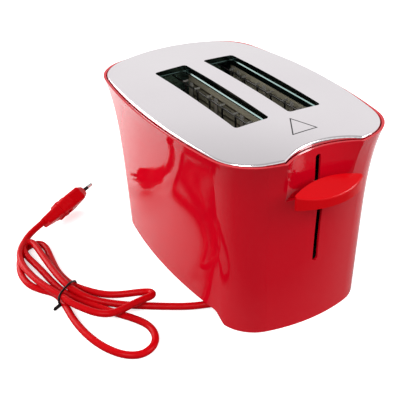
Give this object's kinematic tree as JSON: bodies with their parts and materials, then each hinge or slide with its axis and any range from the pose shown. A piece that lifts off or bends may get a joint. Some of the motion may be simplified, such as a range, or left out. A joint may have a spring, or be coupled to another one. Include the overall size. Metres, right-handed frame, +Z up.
{
  "type": "pop up toaster",
  "caption": "Pop up toaster with a tapered oval shell, domed steel top with long bread slots, end lever in a recess, side dial and button, crumb tray and a tied mains cord.",
  "frame": {"origin": "on the table, under the middle of the whole toaster without its cord", "axes": "+Z up, +X towards the lever end along the bread slots, +Y towards the side with the browning dial"},
  "size_m": [0.3149, 0.2801, 0.1728],
  "materials": {
    "red_casing": "glossy",
    "steel_plate": "polished",
    "black_plastic": "matte",
    "rubber": "matte",
    "zinc_sheet": "satin",
    "steel_wire": "bright",
    "screw_steel": "satin",
    "mica": "matte",
    "ribbon": "dull",
    "knob_red": "glossy",
    "copper_coil": "enamelled",
    "board_green": "matte",
    "red_button": "glossy",
    "cord_red": "soft sheen",
    "tie_black": "matte",
    "plug_red": "soft sheen",
    "pin_metal": "polished",
    "ceramic": "matte"
  },
  "bodies": {
    "housing": {"shell": "red_casing", "top_plate": "steel_plate", "base_plate": "black_plastic", "feet": "rubber", "base_screws": "screw_steel", "chassis_screws": "screw_steel", "front_bulkhead": "zinc_sheet", "rear_bulkhead": "zinc_sheet", "left_reflector": "zinc_sheet", "right_reflector": "zinc_sheet", "left_inner_bread_guide": "steel_wire", "left_outer_bread_guide": "steel_wire", "right_inner_bread_guide": "steel_wire", "right_outer_bread_guide": "steel_wire", "left_mica_board": "mica", "centre_mica_board": "mica", "right_mica_board": "mica", "left_heating_ribbon": "ribbon", "centre_heating_ribbon": "ribbon", "right_heating_ribbon": "ribbon", "guide_rod": "steel_wire", "carriage_spring": "steel_wire", "electromagnet": "copper_coil", "circuit_board": "board_green", "potentiometer": "black_plastic", "cancel_switch": "black_plastic", "terminal_block": "ceramic", "power_switch": "ceramic", "inner_wires": "cord_red", "cord_gland": "black_plastic", "power_cord": "cord_red", "cord_hank": "cord_red", "cord_tie": "tie_black", "cord_lead": "cord_red", "plug_strain_relief": "plug_red", "plug_body": "plug_red", "plug_pins": "pin_metal", "pin_sleeves": "tie_black"},
    "lift_carriage": {"carriage": "zinc_sheet", "armature_plate": "screw_steel", "lever_arm": "zinc_sheet", "lever_knob": "knob_red", "left_bread_lifter": "zinc_sheet", "right_bread_lifter": "zinc_sheet"},
    "dial": {"dial_shaft": "black_plastic", "browning_dial": "red_button"},
    "cancel_button": {"cancel_button": "red_button"},
    "crumb_tray": {"crumb_tray": "zinc_sheet"}
  },
  "joints": [
    {"name": "lever_slide", "type": "slide", "parent": "housing", "child": "lift_carriage", "axis": [0, 0, 1], "range_m": [-0.06, 0.016], "stiffness_N_per_m": 120, "springref_m": 0.01014, "deforming": ["carriage_spring"]},
    {"name": "browning_dial_turn", "type": "hinge", "parent": "housing", "child": "dial", "pos_m": [0.05845, 0.078, 0.044], "axis": [0, 1, 0], "range_deg": [-135, 135]},
    {"name": "cancel_button_press", "type": "slide", "parent": "housing", "child": "cancel_button", "axis": [0, -1, 0], "range_m": [0, 0.0025], "stiffness_N_per_m": 250, "springref_m": -0.0004},
    {"name": "crumb_tray_slide", "type": "slide", "parent": "housing", "child": "crumb_tray", "axis": [-1, 0, 0], "range_m": [0, 0.16]}
  ]
}
